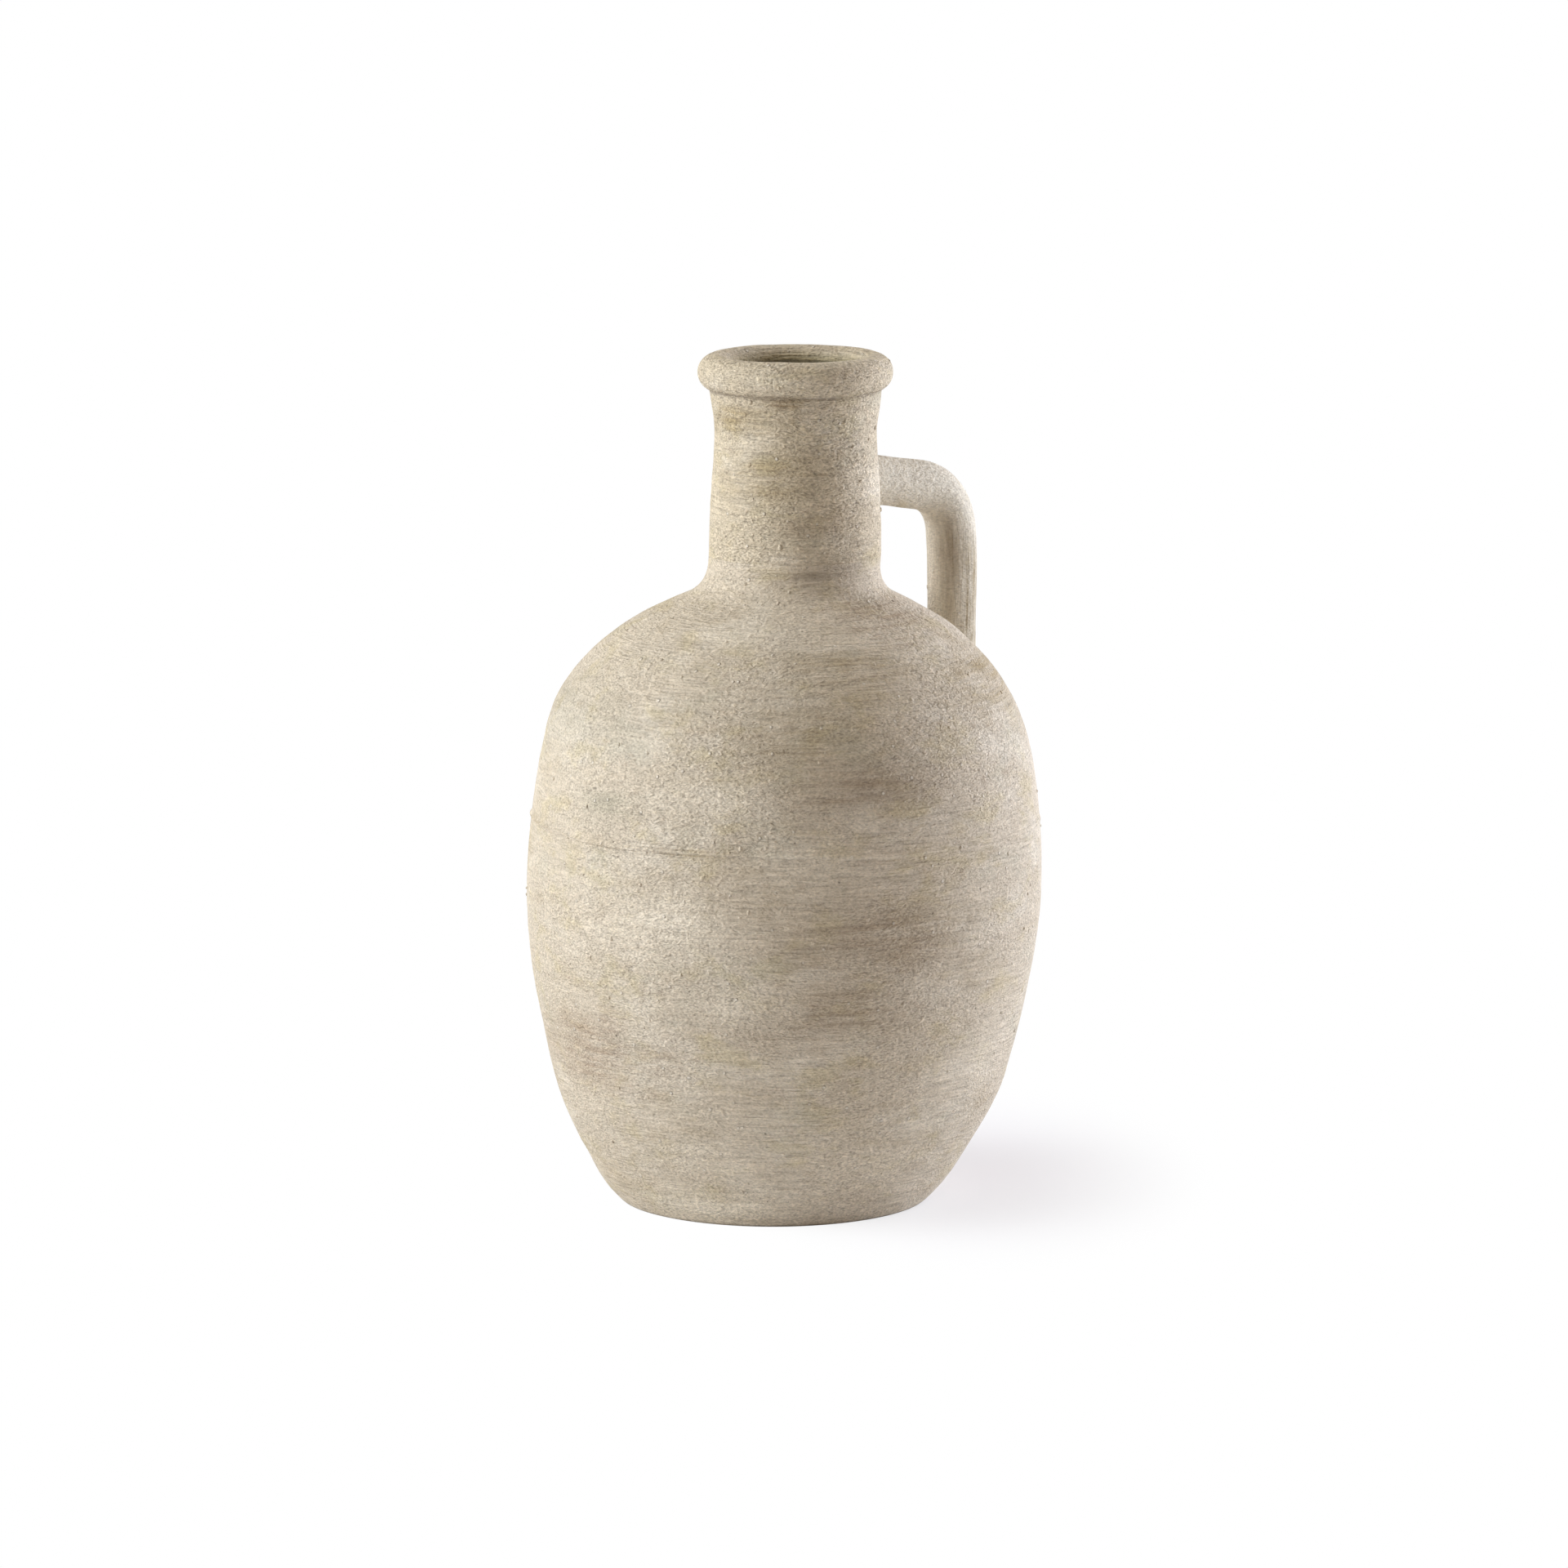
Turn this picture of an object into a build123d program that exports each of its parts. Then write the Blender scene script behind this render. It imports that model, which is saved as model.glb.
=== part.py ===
"""One-handled fired-clay jug vase, built from the clay members that a potter joins.

Units are millimetres. The jug stands on Z = 0 with its turning axis on Z, and its handle
points along +X. Every ring-shaped member is cut from one section through the wall, so
neighbouring members always share the faces at which they are joined.
"""

import os
from math import cos, radians, sin, tan

from build123d import *

os.makedirs("parts", exist_ok=True)

# Body
foot_radius = 72.6
belly_radius = 121.1
belly_height = 150.0
seam_height = 182.5
wall = 8.0
floor_thickness = 9.0
worn_edge = 1.5

# Neck
bore_radius = 30.5
neck_wall = 7.3
neck_root_swell = 2.5
neck_top_flare = 2.4
shoulder_height = 291.3
collar_rise = 13.7
neck_length = 78.6
root_fillet = 16.0
throat_rounding = 10.0

# Rolled lip
lip_overhang = 5.35
lip_roll_radius = 8.5

# Handle
handle_diameter = 23.5
finger_gap = 43.2
handle_rise = 24.2
handle_bend_radius = 25.0
handle_droop = 9.3
handle_foot_inset = 19.6
luting_spread = 5.0
luting_height = 4.0

# Joints between leather-hard members: a scored key in the middle of the wall, under slip
slip_thickness = 0.9
key_width = 3.0
key_height = 2.0

# Clay coil pressed into the inside corner between floor and wall
foot_coil_diameter = 14.0
foot_coil_press = 2.5

# Drawings run past the clay by this much where their edge doesn't matter
overrun = 20.0

# Outside of the body, as shares of the way out and up, each with the wall's lean in degrees
lower_outline_shares = (
    (0.0, 0.0, -49.4),
    (0.276, 0.113, -29.6),
    (0.699, 0.4, -14.9),
    (1.0, 1.0, 0.0),
)
upper_outline_shares = (
    (0.978, 0.23, 6.1),
    (0.869, 0.566, 18.7),
    (0.485, 0.849, 52.5),
    (0.0, 1.0, 62.0),
)

# Outside of the neck: lean at its root and top, and where it is narrowest
neck_root_lean = -1.0
neck_top_lean = -3.6
neck_middle_lean = 2.9
neck_middle_share = 0.38
neck_middle_swell_share = 0.63
neck_waist_share = 0.72

neck_waist_radius = bore_radius + neck_wall
neck_root_radius = neck_waist_radius + neck_root_swell
neck_top_radius = neck_waist_radius + neck_top_flare
collar_height = shoulder_height + collar_rise
lip_seat_height = collar_height + neck_length


def leaning(degrees):
    """Direction along a wall that leans in over the vessel by some degrees."""
    return Vector(-sin(radians(degrees)), cos(radians(degrees)))


def outline(stations, depth=0):
    """Smooth line through stations of the outside, moved square into the wall by depth."""
    points = [
        point - Vector(cos(radians(lean)), sin(radians(lean))) * depth
        for point, lean in stations
    ]
    return Spline(*points, tangents=[leaning(lean) for point, lean in stations])


# Stations of the body's outside, from the foot up to the root of the neck
body_stations = []
for out_share, up_share, lean in lower_outline_shares:
    radius = foot_radius + out_share * (belly_radius - foot_radius)
    body_stations.append((Vector(radius, up_share * belly_height), lean))
for out_share, up_share, lean in upper_outline_shares:
    radius = neck_root_radius + out_share * (belly_radius - neck_root_radius)
    height = belly_height + up_share * (shoulder_height - belly_height)
    body_stations.append((Vector(radius, height), lean))

# Stations of the neck's outside, from the joint at the collar up to the lip's seat
neck_stations = (
    (Vector(neck_root_radius, collar_height), neck_root_lean),
    (
        Vector(
            neck_waist_radius + neck_middle_swell_share * neck_root_swell,
            collar_height + neck_middle_share * neck_length,
        ),
        neck_middle_lean,
    ),
    (Vector(neck_waist_radius, collar_height + neck_waist_share * neck_length), 0),
    (Vector(neck_top_radius, lip_seat_height), neck_top_lean),
)

# The lip is a roll of clay round a centre that its overhang and radius set
roll_centre_radius = neck_top_radius + lip_overhang - lip_roll_radius
roll_seat_offset = neck_top_radius - roll_centre_radius
roll_centre_height = lip_seat_height + (lip_roll_radius**2 - roll_seat_offset**2) ** 0.5
rim_height = roll_centre_height + lip_roll_radius
inner_roll_radius = roll_centre_radius - bore_radius
lip_equator = Vector(roll_centre_radius + lip_roll_radius, roll_centre_height)
lip_crown = Vector(roll_centre_radius, rim_height)
lip_inner_edge = Vector(bore_radius, rim_height - inner_roll_radius)

# Half section of the vessel's outside, drawn as radius and height
with BuildSketch() as outside_section:
    with BuildLine() as outside:
        body_outside = outline(body_stations)
        Line(body_outside @ 1, neck_stations[0][0])
        neck_outside = outline(neck_stations)
        under_lip = RadiusArc(neck_outside @ 1, lip_equator, -lip_roll_radius)
        over_lip = RadiusArc(under_lip @ 1, lip_crown, -lip_roll_radius)
        RadiusArc(over_lip @ 1, lip_inner_edge, -inner_roll_radius)
        Polyline(lip_inner_edge, (0, lip_inner_edge.Y), (0, 0), body_outside @ 0)
    make_face()

# Half section of the hollow: belly, throat and bore
with BuildSketch() as hollow_section:
    with BuildLine():
        belly_inside = outline(body_stations, wall)
        throat_run = ((belly_inside @ 1).X - bore_radius) / -(belly_inside % 1).X
        throat = belly_inside @ 1 + (belly_inside % 1) * throat_run
        Line(belly_inside @ 1, throat)
        Polyline(
            throat,
            (bore_radius, rim_height + overrun),
            (0, rim_height + overrun),
            (0, (belly_inside @ 0).Y),
            belly_inside @ 0,
        )
    make_face()
    with BuildLine():
        Polyline(
            (0, floor_thickness),
            (belly_radius + overrun, floor_thickness),
            (belly_radius + overrun, rim_height + overrun),
            (0, rim_height + overrun),
            close=True,
        )
    make_face(mode=Mode.INTERSECT)

# Half section through the clay, floor and wall together
with BuildSketch() as clay_section:
    add(outside_section.sketch_local)
    add(hollow_section.sketch_local, mode=Mode.SUBTRACT)


def outside_radius(height):
    """Radius of the body's outside at a height."""
    return body_outside.intersect(Axis((0, height, 0), (1, 0, 0)))[0].X


def inside_radius(height):
    """Radius of the hollow at a height."""
    return belly_inside.intersect(Axis((0, height, 0), (1, 0, 0)))[0].X


def joint(height, inner_radius, outer_radius, lift=0):
    """A joint across the wall: flat, with the key standing up in the middle of the clay."""
    middle = (inner_radius + outer_radius) / 2
    base = height + lift
    return [
        (middle - key_width / 2, base),
        (middle, base + key_height),
        (middle + key_width / 2, base),
    ]


def band(low_joint, high_joint):
    """Corners of the whole band that lies between two joints, which trims the section."""
    reach = belly_radius + overrun
    return [
        (0, low_joint[0][1]),
        *low_joint,
        (reach, low_joint[-1][1]),
        (reach, high_joint[-1][1]),
        *reversed(high_joint),
        (0, high_joint[0][1]),
    ]


floor_wall = (inside_radius(floor_thickness), outside_radius(floor_thickness))
seam_wall = (inside_radius(seam_height), outside_radius(seam_height))
collar_wall = (bore_radius, neck_root_radius)
lip_wall = (bore_radius, neck_top_radius)

below_foot = joint(-overrun, *floor_wall)
floor_joint = joint(floor_thickness, *floor_wall)
floor_joint_top = joint(floor_thickness, *floor_wall, lift=slip_thickness)
seam_joint = joint(seam_height, *seam_wall)
seam_joint_top = joint(seam_height, *seam_wall, lift=slip_thickness)
collar_joint = joint(collar_height, *collar_wall)
collar_joint_top = joint(collar_height, *collar_wall, lift=slip_thickness)
lip_joint = joint(lip_seat_height, *lip_wall)
lip_joint_top = joint(lip_seat_height, *lip_wall, lift=slip_thickness)
above_rim = joint(rim_height + overrun, *lip_wall)

# Floor slab: the round of clay that the vessel is raised on, its lower edge worn
with BuildPart() as floor_slab:
    with BuildSketch(Plane.XZ):
        add(clay_section.sketch_local)
        with BuildLine():
            Polyline(band(below_foot, floor_joint), close=True)
        make_face(mode=Mode.INTERSECT)
    revolve(axis=Axis.Z)
    fillet(floor_slab.edges().group_by(Axis.Z)[0], radius=worn_edge)
floor_slab.part.label = "floor_slab"
export_step(floor_slab.part, "parts/floor_slab.step")

# Slip that holds the wall to the slab
with BuildPart() as floor_slip:
    with BuildSketch(Plane.XZ):
        add(clay_section.sketch_local)
        with BuildLine():
            Polyline(band(floor_joint, floor_joint_top), close=True)
        make_face(mode=Mode.INTERSECT)
    revolve(axis=Axis.Z)
floor_slip.part.label = "floor_slip"
export_step(floor_slip.part, "parts/floor_slip.step")

# Foot coil: pressed into the inside corner, flattened on the floor and on the wall
with BuildPart() as foot_coil:
    with BuildSketch(Plane.XZ):
        coil_rise = foot_coil_diameter / 2 - foot_coil_press
        coil_centre_radius = inside_radius(floor_thickness + coil_rise) - coil_rise
        with Locations((coil_centre_radius, floor_thickness + coil_rise)):
            Circle(foot_coil_diameter / 2)
        add(hollow_section.sketch_local, mode=Mode.INTERSECT)
    revolve(axis=Axis.Z)
foot_coil.part.label = "foot_coil"
export_step(foot_coil.part, "parts/foot_coil.step")

# Lower body: the bowl, from the slab up to the seam round the belly
with BuildPart() as lower_body:
    with BuildSketch(Plane.XZ):
        add(clay_section.sketch_local)
        with BuildLine():
            Polyline(band(floor_joint_top, seam_joint), close=True)
        make_face(mode=Mode.INTERSECT)
    revolve(axis=Axis.Z)
lower_body.part.label = "lower_body"
export_step(lower_body.part, "parts/lower_body.step")

# Slip in the seam round the belly
with BuildPart() as belly_slip:
    with BuildSketch(Plane.XZ):
        add(clay_section.sketch_local)
        with BuildLine():
            Polyline(band(seam_joint, seam_joint_top), close=True)
        make_face(mode=Mode.INTERSECT)
    revolve(axis=Axis.Z)
belly_slip.part.label = "belly_slip"
export_step(belly_slip.part, "parts/belly_slip.step")

# Upper body: the second bowl, turned over, closed in to the shoulder and a short collar
with BuildPart() as upper_body:
    with BuildSketch(Plane.XZ):
        add(clay_section.sketch_local)
        with BuildLine():
            Polyline(band(seam_joint_top, collar_joint), close=True)
        make_face(mode=Mode.INTERSECT)
    revolve(axis=Axis.Z)
    corners = upper_body.edges().filter_by(GeomType.CIRCLE)
    root_corner = corners.sort_by(
        lambda edge: abs(edge.radius - neck_root_radius)
        + abs(edge.arc_center.Z - shoulder_height)
    )[0]
    fillet(root_corner, radius=root_fillet)
    corners = upper_body.edges().filter_by(GeomType.CIRCLE)
    throat_corner = corners.sort_by(
        lambda edge: abs(edge.radius - bore_radius) + abs(edge.arc_center.Z - throat.Y)
    )[0]
    fillet(throat_corner, radius=throat_rounding)
upper_body.part.label = "upper_body"
export_step(upper_body.part, "parts/upper_body.step")

# Slip between collar and neck
with BuildPart() as collar_slip:
    with BuildSketch(Plane.XZ):
        add(clay_section.sketch_local)
        with BuildLine():
            Polyline(band(collar_joint, collar_joint_top), close=True)
        make_face(mode=Mode.INTERSECT)
    revolve(axis=Axis.Z)
collar_slip.part.label = "collar_slip"
export_step(collar_slip.part, "parts/collar_slip.step")

# Neck: a waisted tube, thrown apart from the body and set on the collar
with BuildPart() as neck:
    with BuildSketch(Plane.XZ):
        add(clay_section.sketch_local)
        with BuildLine():
            Polyline(band(collar_joint_top, lip_joint), close=True)
        make_face(mode=Mode.INTERSECT)
    revolve(axis=Axis.Z)
neck.part.label = "neck"
export_step(neck.part, "parts/neck.step")

# Slip between neck and lip, at the bottom of the crevice below the roll
with BuildPart() as lip_slip:
    with BuildSketch(Plane.XZ):
        add(clay_section.sketch_local)
        with BuildLine():
            Polyline(band(lip_joint, lip_joint_top), close=True)
        make_face(mode=Mode.INTERSECT)
    revolve(axis=Axis.Z)
lip_slip.part.label = "lip_slip"
export_step(lip_slip.part, "parts/lip_slip.step")

# Rolled lip: a fat coil, rounded over outside and inside
with BuildPart() as rolled_lip:
    with BuildSketch(Plane.XZ):
        add(clay_section.sketch_local)
        with BuildLine():
            Polyline(band(lip_joint_top, above_rim), close=True)
        make_face(mode=Mode.INTERSECT)
    revolve(axis=Axis.Z)
rolled_lip.part.label = "rolled_lip"
export_step(rolled_lip.part, "parts/rolled_lip.step")

# Space that the vessel takes up, hollow and all, which the handle is cut to fit. It is
# drawn on the side away from the handle, so that the seam of its faces is clear of it.
far_side = Plane(origin=(0, 0, 0), x_dir=(-1, 0, 0), z_dir=(0, 1, 0))
with BuildPart() as vessel_core:
    with BuildSketch(far_side):
        add(outside_section.sketch_local)
    revolve(axis=Axis.Z)

# Handle: a pulled clay bar from the neck, bent down, and set on the shoulder
handle_reach = neck_waist_radius + finger_gap + handle_diameter / 2
handle_height = collar_height + handle_rise
handle_start_radius = bore_radius / 2
handle_start_lift = (handle_reach - handle_start_radius) * tan(radians(handle_droop))
with BuildPart() as handle_bar:
    with BuildLine(Plane.XZ) as handle_path:
        FilletPolyline(
            (handle_start_radius, handle_height + handle_start_lift),
            (handle_reach, handle_height),
            (belly_radius - handle_foot_inset, seam_height),
            radius=handle_bend_radius,
        )
    with BuildSketch(Plane(handle_path.line @ 0, z_dir=handle_path.line % 0)):
        Circle(handle_diameter / 2)
    sweep()

with BuildPart() as handle:
    add(handle_bar.part)
    add(vessel_core.part, mode=Mode.SUBTRACT)
handle.part.label = "handle"
export_step(handle.part, "parts/handle.step")

# Room round the handle that its luting may fill
with BuildPart() as luting_sleeve:
    with BuildSketch(Plane(handle_path.line @ 0, z_dir=handle_path.line % 0)):
        Circle(handle_diameter / 2 + luting_spread)
    sweep(path=handle_path.line)

# Top luting: soft clay worked into the corner between handle and neck
with BuildPart() as handle_top_luting:
    with BuildSketch(far_side):
        with BuildLine():
            skin = outline(neck_stations, -luting_height)
            Polyline(skin @ 1, (0, (skin @ 1).Y), (0, (skin @ 0).Y), skin @ 0)
        make_face()
    revolve(axis=Axis.Z)
    add(luting_sleeve.part, mode=Mode.INTERSECT)
    add(vessel_core.part, mode=Mode.SUBTRACT)
    add(handle_bar.part, mode=Mode.SUBTRACT)
handle_top_luting.part.label = "handle_top_luting"
export_step(handle_top_luting.part, "parts/handle_top_luting.step")

# Root luting: soft clay worked into the corner between handle and shoulder
with BuildPart() as handle_root_luting:
    with BuildSketch(far_side):
        with BuildLine():
            skin = outline(body_stations, -luting_height)
            Polyline(skin @ 1, (0, (skin @ 1).Y), (0, (skin @ 0).Y), skin @ 0)
        make_face()
    revolve(axis=Axis.Z)
    add(luting_sleeve.part, mode=Mode.INTERSECT)
    add(vessel_core.part, mode=Mode.SUBTRACT)
    add(handle_bar.part, mode=Mode.SUBTRACT)
handle_root_luting.part.label = "handle_root_luting"
export_step(handle_root_luting.part, "parts/handle_root_luting.step")
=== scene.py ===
import math

import bpy
import numpy as np
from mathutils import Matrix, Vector


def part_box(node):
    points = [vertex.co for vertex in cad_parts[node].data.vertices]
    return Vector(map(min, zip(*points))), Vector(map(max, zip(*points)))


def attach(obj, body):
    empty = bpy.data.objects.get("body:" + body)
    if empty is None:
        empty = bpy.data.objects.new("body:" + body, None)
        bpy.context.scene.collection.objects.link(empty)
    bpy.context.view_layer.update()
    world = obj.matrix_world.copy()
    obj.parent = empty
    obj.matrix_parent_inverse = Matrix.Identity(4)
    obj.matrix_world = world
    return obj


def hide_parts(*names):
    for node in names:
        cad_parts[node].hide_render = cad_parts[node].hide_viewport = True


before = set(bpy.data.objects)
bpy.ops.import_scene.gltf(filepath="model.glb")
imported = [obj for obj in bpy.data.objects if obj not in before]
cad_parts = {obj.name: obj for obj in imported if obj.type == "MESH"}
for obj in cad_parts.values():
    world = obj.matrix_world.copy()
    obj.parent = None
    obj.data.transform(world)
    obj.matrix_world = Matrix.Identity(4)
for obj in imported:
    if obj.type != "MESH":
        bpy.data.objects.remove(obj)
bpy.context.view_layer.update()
scene = bpy.context.scene
scene.view_settings.view_transform = "Standard"

# Camera
# It stands where the photographer stood: a little above the jug, with the handle pointing to
# the right and away from the viewer. The picture is square, on a 36 mm sensor.
camera_distance = 3.791
camera_height = 0.8503
aim_height = 0.1966
handle_turned_away = math.radians(38.0)
lens_mm = 188.0

towards_viewer = Vector((-math.sin(handle_turned_away), -math.cos(handle_turned_away), 0.0))
to_the_right = Vector((math.cos(handle_turned_away), -math.sin(handle_turned_away), 0.0))

camera = bpy.data.objects.new("camera", bpy.data.cameras.new("camera"))
scene.collection.objects.link(camera)
camera.location = towards_viewer * camera_distance + Vector((0.0, 0.0, camera_height))
aim = Vector((0.0, 0.0, aim_height))
camera.rotation_euler = (aim - camera.location).to_track_quat("-Z", "Y").to_euler()
camera.data.lens = lens_mm
camera.data.sensor_width = 36.0
camera.data.clip_start = 0.1
camera.data.clip_end = 60.0
scene.camera = camera


# Floor and light
# A wide flat round of seamless white paper, a wide soft box on the left with a smaller one above
# it, and a wide one on the right, a little behind. The camera sees the paper white, apart from the
# soft shadow to the right of the foot.
def linear(hex_colour):
    """An sRGB hex colour as the linear values that a socket takes."""
    parts = [int(hex_colour[i : i + 2], 16) / 255 for i in (1, 3, 5)]
    return [p / 12.92 if p <= 0.04045 else ((p + 0.055) / 1.055) ** 2.4 for p in parts] + [1.0]


def add_node(tree, kind, inputs=None, **settings):
    """Adds a node with its settings. An input is named, and takes a value, a socket or a node."""
    node = tree.nodes.new(kind)
    for name, value in settings.items():
        setattr(node, name, value)
    for key, value in (inputs or {}).items():
        named = (s for s in node.inputs if key in (s.identifier, s.name))
        socket = node.inputs[key] if isinstance(key, int) else next(named)
        if isinstance(value, bpy.types.Node):
            value = next(s for s in value.outputs if s.enabled)
        if isinstance(value, bpy.types.NodeSocket):
            tree.links.new(value, socket)
        else:
            socket.default_value = value
    return node


def new_material(name):
    """An empty node material and its tree."""
    material = bpy.data.materials.new(name)
    material.use_nodes = True
    material.node_tree.nodes.clear()
    return material, material.node_tree


def seen_ray(tree):
    """One for the rays in which the camera, a gloss or a glass shows the surroundings, or nought."""
    rays = add_node(tree, "ShaderNodeLightPath").outputs
    shown = add_node(tree, "ShaderNodeMath", {0: rays["Is Camera Ray"], 1: rays["Is Glossy Ray"]})
    return add_node(tree, "ShaderNodeMath", {0: shown, 1: rays["Is Transmission Ray"]}, use_clamp=True)


floor_radius = 20.0
floor_corners = 96
paper_white = "#ffffff"
paper_bounce = "#f0f0f0"
shadow_middle = to_the_right * 0.085 - towards_viewer * 0.045
shadow_flatness = 0.55
shadow_reach = 0.125
shadow_glow = 0.40
shadow_share = 0.50
shadow_tint = (1.0, 0.965, 1.0)

# White paper: what other surfaces get from it is plain bounce light.
paper, tree = new_material("white_paper")
place = add_node(tree, "ShaderNodeTexCoord").outputs["Object"]
off = add_node(tree, "ShaderNodeVectorMath", {0: place, 1: shadow_middle}, operation="SUBTRACT")
across, along = (
    add_node(tree, "ShaderNodeVectorMath", {0: off, 1: way}, operation="DOT_PRODUCT").outputs["Value"]
    for way in (to_the_right, towards_viewer * shadow_flatness)
)
spot = add_node(tree, "ShaderNodeCombineXYZ", {"X": across, "Y": along})
away = add_node(tree, "ShaderNodeVectorMath", {0: spot}, operation="LENGTH").outputs["Value"]
near = add_node(tree, "ShaderNodeMapRange", {
    "Value": away, "From Min": 0.0, "From Max": shadow_reach, "To Min": 1.0, "To Max": 0.0,
}, interpolation_type="SMOOTHSTEP")
glow = add_node(tree, "ShaderNodeMapRange", {"Value": near, "To Min": 1.0, "To Max": shadow_glow})
share = add_node(tree, "ShaderNodeMath", {0: near, 1: shadow_share}, operation="MULTIPLY")
grey = add_node(tree, "ShaderNodeVectorMath", {0: shadow_tint, "Scale": share}, operation="SCALE")
lit = add_node(tree, "ShaderNodeEmission", {"Color": linear(paper_white), "Strength": glow})
shaded = add_node(tree, "ShaderNodeBsdfDiffuse", {"Color": grey})
seen = add_node(tree, "ShaderNodeAddShader", {0: lit, 1: shaded})
bounce = add_node(tree, "ShaderNodeBsdfDiffuse", {"Color": linear(paper_bounce)})
either = add_node(tree, "ShaderNodeMixShader", {0: seen_ray(tree), 1: bounce, 2: seen})
add_node(tree, "ShaderNodeOutputMaterial", {"Surface": either})

floor_mesh = bpy.data.meshes.new("paper_floor")
turns = np.linspace(0, 2 * math.pi, floor_corners, endpoint=False)
floor_rim = [(floor_radius * math.cos(a), floor_radius * math.sin(a), 0.0) for a in turns]
floor_mesh.from_pydata(floor_rim, [], [list(range(len(floor_rim)))])
floor_mesh.materials.append(paper)
paper_floor = bpy.data.objects.new("paper_floor", floor_mesh)
scene.collection.objects.link(paper_floor)

# Beyond the lamps the room is dim and warm, and the camera sees it as white as the paper.
room_light = "#ffd8a8"
room_strength = 0.205
world = bpy.data.worlds.new("white_studio")
world.use_nodes = True
world.node_tree.nodes.clear()
scene.world = world
tree = world.node_tree
dim = add_node(tree, "ShaderNodeBackground", {"Color": linear(room_light), "Strength": room_strength})
white = add_node(tree, "ShaderNodeBackground", {"Color": linear(paper_white), "Strength": 1.0})
either = add_node(tree, "ShaderNodeMixShader", {0: seen_ray(tree), 1: dim, 2: white})
add_node(tree, "ShaderNodeOutputWorld", {"Surface": either})

# Right of the jug, in front of it, height, width, tall, watts and colour of each soft box.
soft_boxes = {
    "left_soft_box": (-1.82, 0.34, 0.75, 1.90, 1.2, 41.5, "#ebf2fd"),
    "left_high_soft_box": (-1.30, 0.30, 1.70, 1.20, 1.2, 18.9, "#f0faff"),
    "right_soft_box": (1.62, -0.65, 0.68, 1.85, 1.2, 57.5, "#e5edfe"),
}
for name, (right, forward, height, width, tall, watts, colour) in soft_boxes.items():
    lamp = bpy.data.lights.new(name, "AREA")
    lamp.shape = "RECTANGLE"
    lamp.size = width
    lamp.size_y = tall
    lamp.energy = watts
    lamp.color = linear(colour)[:3]
    soft_box = bpy.data.objects.new(name, lamp)
    scene.collection.objects.link(soft_box)
    soft_box.location = to_the_right * right + towards_viewer * forward + Vector((0.0, 0.0, height))
    soft_box.rotation_euler = (aim - soft_box.location).to_track_quat("-Z", "Y").to_euler()

# Floor slab
# The flat round of clay that the jug is raised on, beaten out and cut round. Its lower edge is
# worn where the jug has been pushed about, and only that edge shows below the wall.
floor_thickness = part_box("floor_slip")[0].z
slip_thickness = 0.0009
worn_edge = 0.0015
wall = 0.008
key_width = 0.003
key_height = 0.002
closeness = 0.0003
columns = 480
row_step = 0.0016
edge_step = 0.0008
sharp_edge = math.radians(40)

# The outside of the body: radius and height in metres, and how many degrees the wall leans in.
body_stations = (
    (0.0726, 0.0000, -49.4),
    (0.0860, 0.0170, -29.6),
    (0.1065, 0.0600, -14.9),
    (0.1211, 0.1500, 0.0),
    (0.1193, 0.1825, 6.1),
    (0.1105, 0.2300, 18.7),
    (0.0795, 0.2700, 52.5),
    (0.0403, 0.2913, 62.0),
)

# A hand-raised jug is never quite upright: how far its middle has strayed to the right of the
# viewer at each height.
stray_stations = (
    (0.000, -0.0050), (0.030, -0.0036), (0.060, -0.0020), (0.110, -0.0010), (0.160, 0.0003),
    (0.210, 0.0010), (0.255, 0.0004), (0.280, 0.0024), (0.300, 0.0047), (0.330, 0.0053),
    (0.400, 0.0054),
)


def eased(t, before, after, start_slope, end_slope):
    """A smooth step between two values that leaves and arrives at the given slopes."""
    return ((2 * t**3 - 3 * t**2 + 1) * before + (t**3 - 2 * t**2 + t) * start_slope
            + (3 * t**2 - 2 * t**3) * after + (t**3 - t**2) * end_slope)


def smooth_line(stations, inset=0.0):
    """Close points on the smooth line through the stations, set into the wall by inset."""
    leans = [math.radians(lean) for _, _, lean in stations]
    points = [np.array((r - inset * math.cos(a), z - inset * math.sin(a)))
              for (r, z, _), a in zip(stations, leans)]
    runs = [np.array((-math.sin(a), math.cos(a))) for a in leans]
    line = []
    for p0, p1, d0, d1 in zip(points, points[1:], runs, runs[1:]):
        chord = float(np.hypot(*(p1 - p0)))
        t = np.linspace(0, 1, max(3, round(chord / closeness)))[:-1, None]
        line.append(eased(t, p0, p1, d0 * chord, d1 * chord))
    return np.concatenate(line + [points[-1][None]])


def arc(centre, radius, start, end):
    """Close points of an arc between two angles in degrees."""
    steps = max(4, round(abs(math.radians(end - start)) * radius / closeness))
    a = np.radians(np.linspace(start, end, steps))
    return np.array(centre) + radius * np.stack((np.cos(a), np.sin(a)), 1)


def outward_of(line):
    """Directions square to a line drawn upwards, away from the axis."""
    run = np.gradient(line, axis=0)
    run /= np.linalg.norm(run, axis=1)[:, None]
    return np.stack((run[:, 1], -run[:, 0]), 1)


def stray(height):
    """How far the middle of the jug has strayed at these heights."""
    heights, shifts = np.array(stray_stations).T
    slopes = np.gradient(shifts, heights)
    i = np.clip(np.searchsorted(heights, height) - 1, 0, len(heights) - 2)
    span = heights[i + 1] - heights[i]
    t = np.clip((height - heights[i]) / span, 0, 1)
    return eased(t, shifts[i], shifts[i + 1], span * slopes[i], span * slopes[i + 1])


def lengths_of(line):
    """How far along a line each of its points lies."""
    return np.concatenate(([0.0], np.cumsum(np.hypot(*np.diff(line, axis=0).T))))


def length_at(line, height):
    """How far along a rising line a height lies."""
    return float(np.interp(height, line[:, 1], lengths_of(line)))


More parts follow.
